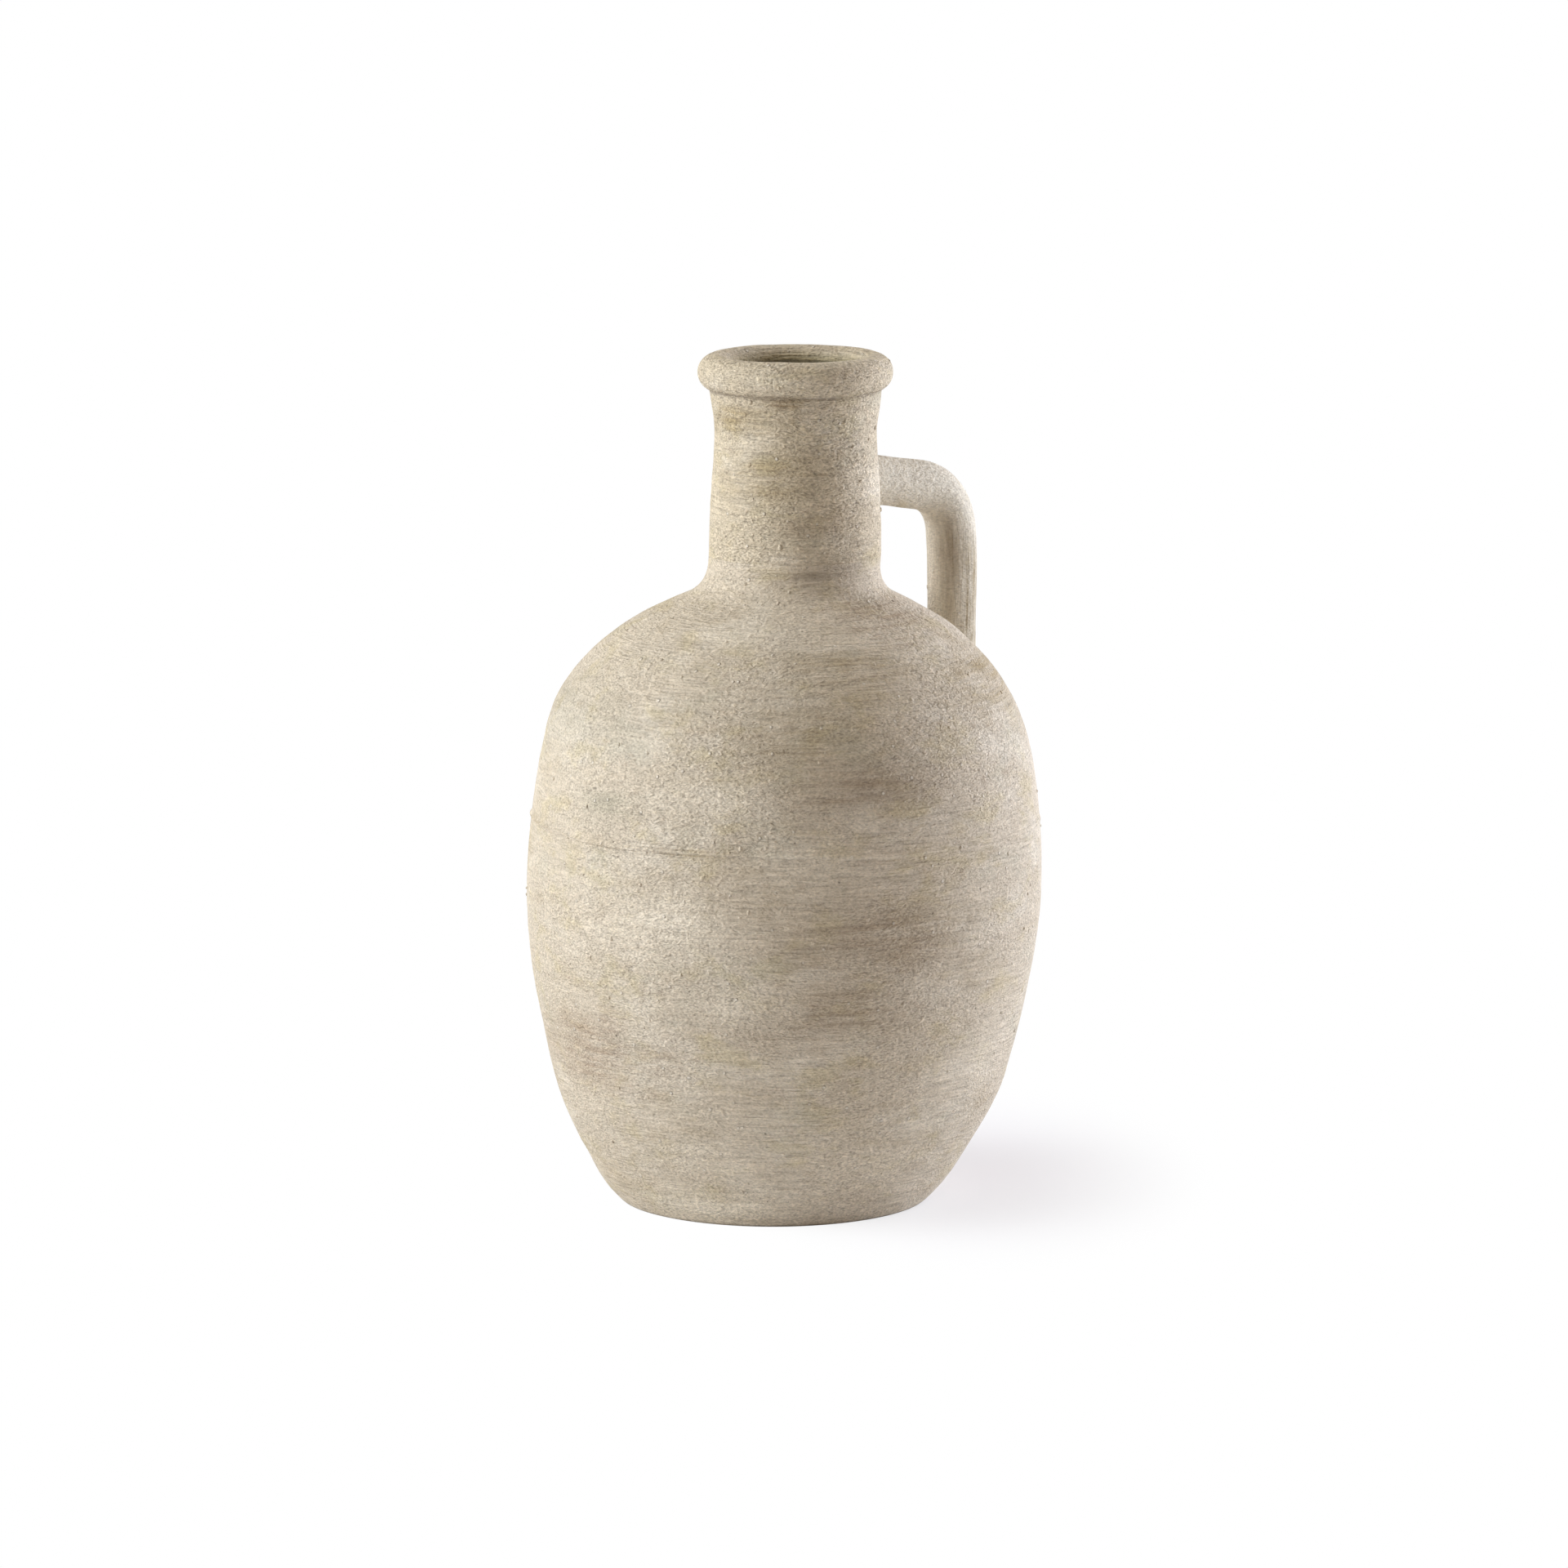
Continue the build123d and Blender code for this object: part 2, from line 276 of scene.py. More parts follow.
def rows_on(line, start, end, step, along=0.0, skin=1.0, bare=0.0):
    """Rows of a section between two lengths of a line, about one step apart.

    Each row has its radius, height, outward direction, length for the brush marks, how far its
    skin is worked and how bare it is of wash.
    """
    at = np.linspace(start, end, max(2, round(abs(end - start) / step)))
    values = [np.interp(at, lengths_of(line), v) for v in (*line.T, *outward_of(line).T)]
    return np.stack((*values, at + along, np.full(len(at), skin), np.full(len(at), bare)), 1)


def key_rows(height, outer, inner):
    """Rows over a joint face from outside to inside, with the scored key in its middle."""
    middle = (outer + inner) / 2
    spots = ((middle + key_width / 2, height), (middle, height + key_height),
             (middle - key_width / 2, height))
    return np.array([(r, z, 1.0, 0.0, 0.0, 0.0, 1.0) for r, z in spots])


def ring_faces(count, across, capped):
    """Faces between rows of points. The last row joins the first, unless the ends are capped."""
    here = np.arange(across)
    there = np.roll(here, -1)
    faces = []
    for i in range(count - 1 if capped else count):
        j = (i + 1) % count
        faces.extend(np.stack((i * across + here, i * across + there,
                               j * across + there, j * across + here), 1).tolist())
    if capped:
        first, last, top = count * across, count * across + 1, (count - 1) * across
        faces.extend([first, b, a] for a, b in zip(here.tolist(), there.tolist()))
        faces.extend([last, top + a, top + b] for a, b in zip(here.tolist(), there.tolist()))
    return faces


def clay_mesh(node, points, faces, outward, brush, skin, bare):
    """A linked mesh for a CAD node. It strays with the jug and carries what its surface reads."""
    points = np.array(points, float)
    points[:, :2] += stray(points[:, 2])[:, None] * np.array(to_the_right)[:2]
    a, b, c = (points[[f[i] for f in faces]] for i in range(3))
    if np.einsum("ij,ij->", a, np.cross(b, c)) < 0:
        faces = [f[::-1] for f in faces]
    mesh = bpy.data.meshes.new(node + "_clay")
    mesh.from_pydata(points.tolist(), [], faces)
    for label, kind, field, values in (
        ("outward", "FLOAT_VECTOR", "vector", outward), ("brush", "FLOAT_VECTOR", "vector", brush),
        ("skin", "FLOAT", "value", skin), ("bare", "FLOAT", "value", bare),
    ):
        attribute = mesh.attributes.new(label, kind, "POINT")
        attribute.data.foreach_set(field, np.ascontiguousarray(values, np.float32).ravel())
    mesh.polygons.foreach_set("use_smooth", np.ones(len(faces), bool))
    mesh.set_sharp_from_angle(angle=sharp_edge)
    piece = bpy.data.objects.new(node + "_clay", mesh)
    scene.collection.objects.link(piece)
    return piece


# Brush strokes lie level round the jug, and are drawn out this much against their width.
stroke_draw = 12.0


def turned(node, rows, capped=False, raised=None):
    """A closed mesh turned round the axis from rows: up the outside, then down the inside."""
    turn = np.linspace(0, 2 * math.pi, columns, endpoint=False)
    cos, sin, level = np.cos(turn), np.sin(turn), np.ones(columns)
    points, outward = (
        np.stack((np.outer(rows[:, r], cos), np.outer(rows[:, r], sin), np.outer(rows[:, z], level)), 2)
        .reshape(-1, 3) for r, z in ((0, 1), (2, 3))
    )
    along, skin, bare = (np.repeat(rows[:, i], columns) for i in (4, 5, 6))
    if capped:
        points = np.concatenate((points, ((0, 0, rows[0, 1]), (0, 0, rows[-1, 1]))))
        outward = np.concatenate((outward, ((0, 0, -1), (0, 0, 1))))
        along, skin, bare = (np.append(v, (0.0, 0.0)) for v in (along, skin, bare))
    if raised:
        points = points + outward * (raised(points) * skin)[:, None]
    brush = np.stack((points[:, 0], points[:, 1], along * stroke_draw), 1)
    faces = ring_faces(len(rows), columns, capped)
    return clay_mesh(node, points, faces, outward, brush, skin, bare)


# Hand-worked skin: the slow wobble and shallow dents of a wall pressed out by hand, the rings
# that fingers leave, and grits that stand up under the wash. The grits lie only where the skin is
# fully worked, and their size is a share of the radius: along, across and up.
grits_above = 0.6
smallest_grit = (0.40, 0.40, 0.20)
largest_grit = (1.0, 1.0, 0.50)
skin_tree = bpy.data.node_groups.new("hand_worked_skin", "GeometryNodeTree")
skin_tree.interface.new_socket("Geometry", in_out="INPUT", socket_type="NodeSocketGeometry")
for name in ("Wobble", "Wobble Size", "Dents", "Dent Size", "Rings", "Ring Spacing",
             "Grits Per Square Metre", "Grit Radius"):
    skin_tree.interface.new_socket(name, in_out="INPUT", socket_type="NodeSocketFloat")
skin_tree.interface.new_socket("Finish", in_out="INPUT", socket_type="NodeSocketMaterial")
skin_tree.interface.new_socket("Geometry", in_out="OUTPUT", socket_type="NodeSocketGeometry")
given = skin_tree.nodes.new("NodeGroupInput").outputs
where = add_node(skin_tree, "GeometryNodeInputPosition")
outward, brush, skin = (
    add_node(skin_tree, "GeometryNodeInputNamedAttribute", {"Name": label}, data_type=kind)
    for label, kind in (("outward", "FLOAT_VECTOR"), ("brush", "FLOAT_VECTOR"), ("skin", "FLOAT"))
)
push = None
for amount, size, vector, draw in (
    ("Wobble", "Wobble Size", where, 1.0), ("Dents", "Dent Size", where, 1.0),
    ("Rings", "Ring Spacing", brush, stroke_draw),
):
    drawn = add_node(skin_tree, "ShaderNodeMath", {0: given[size], 1: draw}, operation="MULTIPLY")
    scale = add_node(skin_tree, "ShaderNodeMath", {0: 1.0, 1: drawn}, operation="DIVIDE")
    noise = add_node(skin_tree, "ShaderNodeTexNoise", {"Vector": vector, "Scale": scale, "Detail": 1.0})
    level = add_node(skin_tree, "ShaderNodeMath", {0: noise, 1: 0.5}, operation="SUBTRACT")
    part = add_node(skin_tree, "ShaderNodeMath", {0: level, 1: given[amount]}, operation="MULTIPLY")
    push = part if push is None else add_node(skin_tree, "ShaderNodeMath", {0: push, 1: part})
push = add_node(skin_tree, "ShaderNodeMath", {0: push, 1: skin}, operation="MULTIPLY")
offset = add_node(skin_tree, "ShaderNodeVectorMath", {0: outward, "Scale": push}, operation="SCALE")
worked = add_node(skin_tree, "GeometryNodeSetPosition", {
    "Geometry": given["Geometry"], "Offset": offset})
on_skin = add_node(skin_tree, "FunctionNodeCompare", {
    "A": skin, "B": grits_above}, operation="GREATER_THAN")
spots = add_node(skin_tree, "GeometryNodeDistributePointsOnFaces", {
    "Mesh": worked, "Selection": on_skin, "Density": given["Grits Per Square Metre"], "Seed": 11})
spread = add_node(skin_tree, "FunctionNodeRandomValue", {
    "Min": smallest_grit, "Max": largest_grit, "Seed": 5}, data_type="FLOAT_VECTOR")
grit_size = add_node(skin_tree, "ShaderNodeVectorMath", {
    0: spread, "Scale": given["Grit Radius"]}, operation="SCALE")
grain = add_node(skin_tree, "GeometryNodeMeshUVSphere", {"Segments": 8, "Rings": 5, "Radius": 1.0})
smooth = add_node(skin_tree, "GeometryNodeSetShadeSmooth", {"Geometry": grain})
grits = add_node(skin_tree, "GeometryNodeInstanceOnPoints", {
    "Points": spots.outputs["Points"], "Instance": smooth, "Rotation": spots.outputs["Rotation"],
    "Scale": grit_size})
both = add_node(skin_tree, "GeometryNodeJoinGeometry", {"Geometry": worked})
skin_tree.links.new(grits.outputs[0], both.inputs[0])
real = add_node(skin_tree, "GeometryNodeRealizeInstances", {"Geometry": both})
done = add_node(skin_tree, "GeometryNodeSetMaterial", {"Geometry": real, "Material": given["Finish"]})
add_node(skin_tree, "NodeGroupOutput", {0: done})


def work_by_hand(piece, node, slot, finish, **sizes):
    """Gives a piece its hand-worked skin as plain mesh, and puts it in place of its CAD node."""
    modifier = piece.modifiers.new("hand_worked_skin", "NODES")
    modifier.node_group = skin_tree
    sockets = {s.name: s.identifier for s in skin_tree.interface.items_tree if s.in_out == "INPUT"}
    modifier[sockets["Finish"]] = finish
    for name, value in sizes.items():
        modifier[sockets[name.replace("_", " ").title()]] = value
    ready = piece.evaluated_get(bpy.context.evaluated_depsgraph_get())
    made = bpy.data.meshes.new_from_object(ready)
    piece.modifiers.clear()
    piece.data = made
    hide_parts(node)
    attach(piece, "root")


body_skin = dict(
    wobble=0.0011, wobble_size=0.060, dents=0.0006, dent_size=0.018, rings=0.0006,
    ring_spacing=0.011, grits_per_square_metre=600.0, grit_radius=0.0013,
)

# Fired clay under a rubbed lime wash: pale cream where the wash is thick, brown where the clay
# comes through. It is dry and dull, with a gritty skin of fine raised crumbs, level brush marks
# and pin holes. Each patch: colour, size, flatness, where it starts and is full, how much.
washed_ground = "#cdbfa9"
washed_patches = (
    ("#ddd2bf", 0.055, 1.6, 0.47, 0.66, 0.60),
    ("#b8a78b", 0.034, 2.4, 0.50, 0.72, 0.50),
    ("#c3b38a", 0.026, 1.8, 0.51, 0.68, 0.45),
    ("#bab5a0", 0.045, 1.6, 0.54, 0.70, 0.34),
    ("#aa947b", 0.011, 3.0, 0.54, 0.76, 0.35),
    ("#e6dcc8", 0.008, 3.5, 0.56, 0.78, 0.40),
)
bare_ground = "#b5a784"
bare_patches = (
    ("#c9bd9f", 0.030, 2.0, 0.45, 0.62, 0.8),
    ("#a3916c", 0.016, 3.0, 0.52, 0.70, 0.6),
)
patch_shift = (0.31, 0.17, 0.23)

# The grain: brush strokes, sand and larger crumbs, each with how much it shades the wash and how
# high it stands. The colour follows the height, darker in the pits and paler on the tops: part the
# grain's own tone, part painted shade and painted highlight. Strokes show most in some zones and
# grit in the others. The wash as a whole is darker than its thickest places by the rubbed shade.
stroke_width = 0.0013
grain_width = 0.0014
crumb_width = 2.4 * grain_width
grain_flatness = 1.9
stroke_strength = (0.62, 1.05)
sand_strength = (1.34, 0.68)
crumb_strength = (0.48, 1.10)
rubbed_shade = 0.875
zone_size = 0.045
zone_edge = (0.46, 0.62)
brushed_share = (0.30, 1.0)
gritty_share = (1.0, 0.65)

# Pale grits and dark pin holes: spacing, reach, colour, and how far they stand up. The dark of the
# holes is painted shade.
specks = ((0.0090, 0.11, "#efe6d6", 1.4), (0.0110, 0.050, "#5a4d3d", -1.4))
speck_core = 0.4
speck_cover = 0.5

# Places where the wash is rubbed thin, stained, or has run together, and one pale place low on the
# foot that is painted light, for the bounce from the floor: middle, reach, colour and how much.
# They are flatter than wide. Streaks break them up and let about half through, so each amount is
# doubled.
rubbed_brown = "#9b866b"
ochre_stain = "#9b865d"
green_grey = "#a19b85"
cream_wash_and_painted_light = "#e8dcc7"
place_flatness = 2.6
place_sway = 1.1
swirl_size = 0.030
streak_width = 0.0042
streak_edge = (0.36, 0.64)
streak_cover = (0.15, 0.85)
rubbed_places_and_painted_light = (
    ((-0.044, -0.103, 0.214), 0.042, rubbed_brown, 0.50),
    ((-0.018, -0.111, 0.216), 0.040, "#9a8973", 0.30),
    ((-0.034, -0.114, 0.144), 0.062, rubbed_brown, 0.46),
    ((-0.050, -0.103, 0.108), 0.062, rubbed_brown, 0.44),
    ((-0.110, 0.004, 0.084), 0.074, "#a38c73", 0.50),
    ((0.068, -0.068, 0.252), 0.075, ochre_stain, 0.60),
    ((0.012, -0.058, 0.281), 0.048, rubbed_brown, 0.60),
    ((-0.003, -0.040, 0.303), 0.028, "#9a8c77", 0.44),
    ((-0.024, -0.032, 0.382), 0.014, "#8c7450", 0.95),
    ((-0.027, -0.027, 0.346), 0.048, ochre_stain, 0.38),
    ((-0.034, -0.006, 0.373), 0.040, ochre_stain, 0.52),
    ((-0.002, -0.121, 0.150), 0.042, ochre_stain, 0.20),
    ((0.030, -0.090, 0.240), 0.050, ochre_stain, 0.24),
    ((-0.020, -0.080, 0.262), 0.060, ochre_stain, 0.34),
    ((-0.052, -0.091, 0.236), 0.052, ochre_stain, 0.42),
    ((-0.114, -0.015, 0.200), 0.034, green_grey, 0.40),
    ((-0.098, 0.032, 0.236), 0.080, "#a49b86", 0.42),
    ((-0.092, -0.068, 0.210), 0.046, cream_wash_and_painted_light, 0.50),
    ((-0.062, -0.100, 0.180), 0.042, cream_wash_and_painted_light, 0.34),
    ((-0.105, -0.051, 0.146), 0.056, cream_wash_and_painted_light, 0.75),
    ((-0.084, -0.076, 0.114), 0.044, cream_wash_and_painted_light, 0.45),
    ((0.026, -0.103, 0.074), 0.055, cream_wash_and_painted_light, 0.50),
    ((-0.085, -0.045, 0.035), 0.050, cream_wash_and_painted_light, 0.30),
    ((-0.012, -0.094, 0.030), 0.048, cream_wash_and_painted_light, 0.40),
    # Painted light: the bounce from the floor onto the foot, as a pale place.
    ((-0.066, -0.043, 0.004), 0.060, cream_wash_and_painted_light, 1.00),
    ((-0.060, -0.040, 0.278), 0.034, cream_wash_and_painted_light, 0.45),
    ((-0.012, -0.038, 0.325), 0.028, rubbed_brown, 0.36),
    ((0.028, -0.026, 0.340), 0.046, cream_wash_and_painted_light, 0.65),
    ((-0.028, -0.036, 0.392), 0.026, cream_wash_and_painted_light, 0.45),
    ((-0.026, -0.031, 0.309), 0.026, cream_wash_and_painted_light, 0.50),
)

# Painted shade: a dark line in the crevice under the lip, and a contact shadow along the bottom
# edge of the foot: height, reach, how much.
painted_shade_lines = ((0.3838, 0.0022, 0.40), (0.0, 0.0014, 0.90))
painted_shade_colour = "#6a5d4b"


def clay_finish(name, ground, patches, places, contrast, grain_depth, flatness=place_flatness):
    """A dull clay material: ground colour, soft patches, bare clay inside, strokes and grain."""
    material, tree = new_material(name)
    place = add_node(tree, "ShaderNodeTexCoord").outputs["Object"]
    brush = add_node(tree, "ShaderNodeAttribute", attribute_name="brush").outputs["Vector"]
    bare = add_node(tree, "ShaderNodeAttribute", attribute_name="bare").outputs["Fac"]
    colours = []
    for base, layers in ((ground, patches), (bare_ground, bare_patches)):
        colour = linear(base)
        for number, (tint, size, squash, start, full, amount) in enumerate(layers):
            laid = add_node(tree, "ShaderNodeMapping", {
                "Vector": place, "Location": [number * shift for shift in patch_shift],
                "Scale": (1.0, 1.0, squash)})
            cloud = add_node(tree, "ShaderNodeTexNoise", {
                "Vector": laid, "Scale": 1 / size, "Detail": 5.0, "Roughness": 0.62,
                "Distortion": 0.3})
            cover = add_node(tree, "ShaderNodeMapRange", {
                "Value": cloud, "From Min": start, "From Max": full, "To Min": 0.0,
                "To Max": amount}, interpolation_type="SMOOTHSTEP")
            colour = add_node(tree, "ShaderNodeMix", {
                "Factor_Float": cover, "A_Color": colour, "B_Color": linear(tint)}, data_type="RGBA")
        colours.append(colour)

    streaks = add_node(tree, "ShaderNodeTexNoise", {
        "Vector": brush, "Scale": 1 / (streak_width * stroke_draw), "Detail": 7.0,
        "Roughness": 0.7, "Distortion": 0.4})
    ragged = add_node(tree, "ShaderNodeMapRange", {
        "Value": streaks, "From Min": streak_edge[0], "From Max": streak_edge[1],
        "To Min": streak_cover[0], "To Max": streak_cover[1]})
    swirl = add_node(tree, "ShaderNodeTexNoise", {
        "Vector": place, "Scale": 1 / swirl_size, "Detail": 3.0, "Roughness": 0.6})
    lean = add_node(tree, "ShaderNodeVectorMath", {
        0: swirl.outputs["Color"], 1: (0.5, 0.5, 0.5)}, operation="SUBTRACT")
    colour = colours[0]
    for middle, reach, tint, amount in places:
        x, y, z = middle
        off = add_node(tree, "ShaderNodeMapping", {
            "Vector": place, "Location": (-x, -y, -z * flatness), "Scale": (1.0, 1.0, flatness)})
        bent = add_node(tree, "ShaderNodeVectorMath", {
            0: lean, 1: (place_sway * reach,) * 3, 2: off}, operation="MULTIPLY_ADD")
        away = add_node(tree, "ShaderNodeVectorMath", {0: bent}, operation="LENGTH").outputs["Value"]
        near = add_node(tree, "ShaderNodeMapRange", {
            "Value": away, "From Min": reach, "From Max": 0.0, "To Min": 0.0, "To Max": 2 * amount},
            interpolation_type="SMOOTHSTEP")
        cover = add_node(tree, "ShaderNodeMath", {0: near, 1: ragged}, operation="MULTIPLY")
        colour = add_node(tree, "ShaderNodeMix", {
            "Factor_Float": cover, "A_Color": colour, "B_Color": linear(tint)}, data_type="RGBA")
    colour = add_node(tree, "ShaderNodeMix", {
        "Factor_Float": bare, "A_Color": colour, "B_Color": colours[1]}, data_type="RGBA")
    height = add_node(tree, "ShaderNodeSeparateXYZ", {0: place}).outputs["Z"]
    # Painted shade lines, broken up by the same streaks as the places.
    for level, reach, amount in painted_shade_lines:
        above = add_node(tree, "ShaderNodeMath", {0: height, 1: level}, operation="SUBTRACT")
        off = add_node(tree, "ShaderNodeMath", {0: above}, operation="ABSOLUTE")
        near = add_node(tree, "ShaderNodeMapRange", {
            "Value": off, "From Min": reach, "From Max": 0.0, "To Min": 0.0, "To Max": 2 * amount},
            interpolation_type="SMOOTHSTEP")
        cover = add_node(tree, "ShaderNodeMath", {0: near, 1: ragged}, operation="MULTIPLY")
        colour = add_node(tree, "ShaderNodeMix", {
            "Factor_Float": cover, "A_Color": colour, "B_Color": linear(painted_shade_colour)}, data_type="RGBA")

    strokes = add_node(tree, "ShaderNodeTexNoise", {
        "Vector": brush, "Scale": 1 / (stroke_width * stroke_draw), "Detail": 1.5,
        "Roughness": 0.5, "Distortion": 0.6})
    laid = add_node(tree, "ShaderNodeMapping", {
        "Vector": place, "Scale": (1.0, 1.0, grain_flatness)})
    sand = add_node(tree, "ShaderNodeTexNoise", {
        "Vector": laid, "Scale": 1 / grain_width, "Detail": 2.0, "Roughness": 0.55,
        "Distortion": 0.3})
    crumbs = add_node(tree, "ShaderNodeTexNoise", {
        "Vector": laid, "Scale": 1 / crumb_width, "Detail": 1.5, "Roughness": 0.5,
        "Distortion": 0.8})
    zones = add_node(tree, "ShaderNodeTexNoise", {
        "Vector": place, "Scale": 1 / zone_size, "Detail": 2.0})
    brushed, gritty = (
        add_node(tree, "ShaderNodeMapRange", {
            "Value": zones, "From Min": zone_edge[0], "From Max": zone_edge[1],
            "To Min": low, "To Max": high})
        for low, high in (brushed_share, gritty_share)
    )
    shade, height = rubbed_shade, 0.0
    # Painted shade and highlight: each grain darkens the colour where it sinks and lightens it where it
    # stands up.
    for noise, worked, (amount, lift) in (
        (strokes, brushed, stroke_strength), (sand, gritty, sand_strength),
        (crumbs, gritty, crumb_strength),
    ):
        level = add_node(tree, "ShaderNodeMath", {0: noise, 1: 0.5}, operation="SUBTRACT")
        level = add_node(tree, "ShaderNodeMath", {0: level, 1: worked}, operation="MULTIPLY")
        shade = add_node(tree, "ShaderNodeMath", {0: level, 1: amount * contrast, 2: shade},
                         operation="MULTIPLY_ADD")
        height = add_node(tree, "ShaderNodeMath", {0: level, 1: lift, 2: height},
                          operation="MULTIPLY_ADD")
    colour = add_node(tree, "ShaderNodeVectorMath", {0: colour, "Scale": shade}, operation="SCALE")

    for size, reach, tint, lift in specks:
        cells = add_node(tree, "ShaderNodeTexVoronoi", {"Vector": place, "Scale": 1 / size})
        spot = add_node(tree, "ShaderNodeMapRange", {
            "Value": cells.outputs["Distance"], "From Min": reach, "From Max": reach * speck_core,
            "To Min": 0.0, "To Max": speck_cover}, interpolation_type="SMOOTHSTEP")
        colour = add_node(tree, "ShaderNodeMix", {
            "Factor_Float": spot, "A_Color": colour, "B_Color": linear(tint)}, data_type="RGBA")
        height = add_node(tree, "ShaderNodeMath", {0: spot, 1: lift, 2: height},
                          operation="MULTIPLY_ADD")
    relief = add_node(tree, "ShaderNodeBump", {
        "Strength": 1.0, "Distance": grain_depth, "Height": height})
    shader = add_node(tree, "ShaderNodeBsdfPrincipled", {
        "Base Color": colour, "Roughness": 0.9, "Specular IOR Level": 0.45, "IOR": 1.5,
        "Normal": relief})
    add_node(tree, "ShaderNodeOutputMaterial", {"Surface": shader})
    return material


wash_contrast = 1.0
wash_depth = 0.00090
washed_clay = clay_finish("lime_washed_earthenware", washed_ground, washed_patches, rubbed_places_and_painted_light,
                          wash_contrast, wash_depth)

body_line = smooth_line(body_stations)
first_lean = body_stations[0][2]
worn_centre = body_stations[0][0] - worn_edge * math.tan(math.radians((90 + first_lean) / 2))
worn_arc = arc((worn_centre, worn_edge), worn_edge, -90, first_lean)
body_line = np.concatenate((worn_arc, body_line[body_line[:, 1] > worn_arc[-1, 1]]))
hollow_line = smooth_line(body_stations, wall)

skin_starts = 0.006
inner_rings = (0.25, 0.5, 0.75)
outer_ring = 0.95
slab_edge = rows_on(body_line, 0.0, length_at(body_line, floor_thickness), edge_step)
slab_edge[:, 5] = np.clip(slab_edge[:, 1] / skin_starts, 0, 1)
slab_outside = slab_edge[-1, 0]
slab_inside = float(np.interp(floor_thickness, hollow_line[:, 1], hollow_line[:, 0]))
slab_foot = np.array([(worn_centre * s, 0, 0, -1, 0, 0, 0) for s in (*inner_rings, outer_ring)])
slab_top = np.array([(slab_inside * s, floor_thickness, 0, 1, 0, 0, 1)
                     for s in (1, *inner_rings[::-1])])
slab_rows = np.concatenate((
    slab_foot, slab_edge, key_rows(floor_thickness, slab_outside, slab_inside), slab_top,
))
floor_slab = turned("floor_slab", slab_rows, capped=True)
work_by_hand(floor_slab, "floor_slab", "washed_clay", washed_clay, **body_skin)

# Floor slip
# A skin of wet clay that glues the wall to the slab and fills the scored key in the middle of
# the joint. The wash goes over its edge, so that the joint hardly shows from outside.
slip_step = 0.0004
slip_clay = clay_finish("fired_joint_slip", washed_ground, washed_patches, rubbed_places_and_painted_light,
                        wash_contrast, wash_depth)
slip_skin = dict(body_skin, grits_per_square_metre=0.0)


def slip_ring(node, line, height, outer, inner, along=0.0, raised=None):
    """A thin ring of slip between two keyed faces, flush with the outside line."""
    top = height + slip_thickness
    edge = rows_on(line, length_at(line, height), length_at(line, top), slip_step, along)
    back = np.array([(inner, z, -1, 0, 0, 0, 1) for z in (top, height)])
    rows = np.concatenate((
        edge, key_rows(top, outer, inner), back, key_rows(height, outer, inner)[::-1],
    ))
    work_by_hand(turned(node, rows, raised=raised), node, "joint_slip", slip_clay, **slip_skin)


slip_ring("floor_slip", body_line, floor_thickness, slab_outside, slab_inside)

# Foot coil
# A roll of soft clay pressed by thumb into the corner of floor and wall, inside the jug, so
# that the joint does not crack in the kiln. It is bare clay and can't be seen from outside.
coil_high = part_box("foot_coil")[1]
coil_roundness = 0.56
coil_sunk = 0.95
coil_turn = 15
bare_contrast = 0.4
bare_depth = 0.00045
coil_radius = (coil_high.z - floor_thickness) * coil_roundness
coil_middle = (coil_high.x - coil_radius * coil_sunk, coil_high.z - coil_radius)
bare_clay = clay_finish("bare_earthenware", bare_ground, bare_patches, (), bare_contrast, bare_depth)
coil_rows = []
for a in np.radians(np.arange(-90, 270, coil_turn)):
    z = max(coil_middle[1] + coil_radius * math.sin(a), floor_thickness)
    r = coil_middle[0] + coil_radius * math.cos(a)
    r = min(r, float(np.interp(z, hollow_line[:, 1], hollow_line[:, 0])))
    coil_rows.append((r, z, math.cos(a), math.sin(a), a * coil_radius, 0.0, 1.0))
foot_coil = turned("foot_coil", np.array(coil_rows))
work_by_hand(foot_coil, "foot_coil", "bare_clay", bare_clay, **slip_skin)

# Lower body
# The lower bowl, built up from coils and beaten round, from the foot to the seam at the belly.
# The slip pressed out of that seam was wiped over it and leaves a low uneven ridge.
seam_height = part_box("belly_slip")[0].z
ridge_height = 0.00100
ridge_width = 0.0008
ridge_strong_side = math.radians(195.0)
ridge_least = 0.30
ridge_sway = 0.0014
level_side = 0.75
comb_middle = math.radians(205.0)
comb_spread = math.radians(15.0)
comb_height = 0.00045
comb_spacing = 0.0017

# The ridge wanders up and down in waves: height, number round the jug, and start. Two more waves
# together make it strong and weak by turns.
ridge_waves = ((0.0004, 5, 1.0), (0.00025, 11, 0.0))
ridge_unevenness = 0.25
strength_waves = ((7, 2.0), (3, 0.0))


def wiped_ridge(points):
    """How far the wiped slip stands up: a ridge, strong on one side, and combed lines by it."""
    turn = np.arctan2(points[:, 1], points[:, 0])
    side = np.cos(turn - ridge_strong_side)
    crest = seam_height + slip_thickness / 2 + ridge_sway * (side - level_side)
    for size, count, start in ridge_waves:
        crest = crest + size * np.sin(count * turn + start)
    above = points[:, 2] - crest
    uneven = ridge_unevenness
    for count, start in strength_waves:
        uneven = uneven * np.sin(count * turn + start)
    strength = ridge_least + (1 - ridge_least) * np.clip(side, 0, 1) + uneven
    ridge = ridge_height * strength * np.exp(-((above / ridge_width) ** 2))
    off_comb = np.angle(np.exp(1j * (turn - comb_middle))) / comb_spread
    comb = comb_height * np.exp(-(off_comb**2) - (above / (2 * comb_spacing)) ** 2)
    return ridge + comb * np.cos(2 * math.pi * above / comb_spacing)


